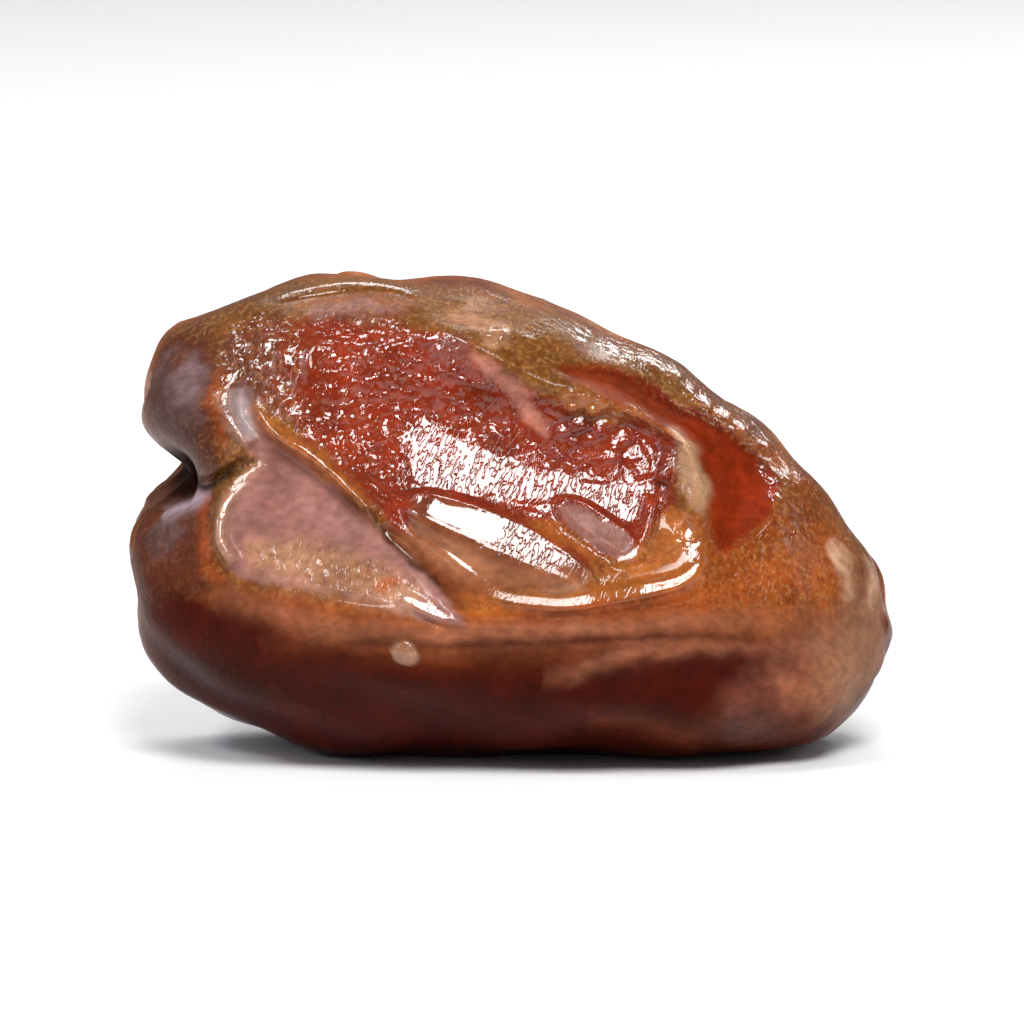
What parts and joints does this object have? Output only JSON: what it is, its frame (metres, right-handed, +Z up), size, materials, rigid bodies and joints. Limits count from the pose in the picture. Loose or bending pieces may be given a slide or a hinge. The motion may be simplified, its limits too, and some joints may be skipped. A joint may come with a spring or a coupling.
{
  "type": "date fruit",
  "caption": "Soft dried date fruit lying on its side, with a sunken wrinkled skin, a cleft stem end and a small flat spot to rest on.",
  "frame": {"origin": "on the surface that the fruit lies on, under the middle of its box", "axes": "+Z up, X along the fruit from its stem end at -X to its tip at +X, -Y the sunken side with the broad basin"},
  "size_m": [0.0402, 0.0226, 0.025],
  "materials": {
    "date_skin": "glossy, thin translucent skin"
  },
  "bodies": {
    "root": {"date_fruit": "date_skin"}
  },
  "joints": []
}
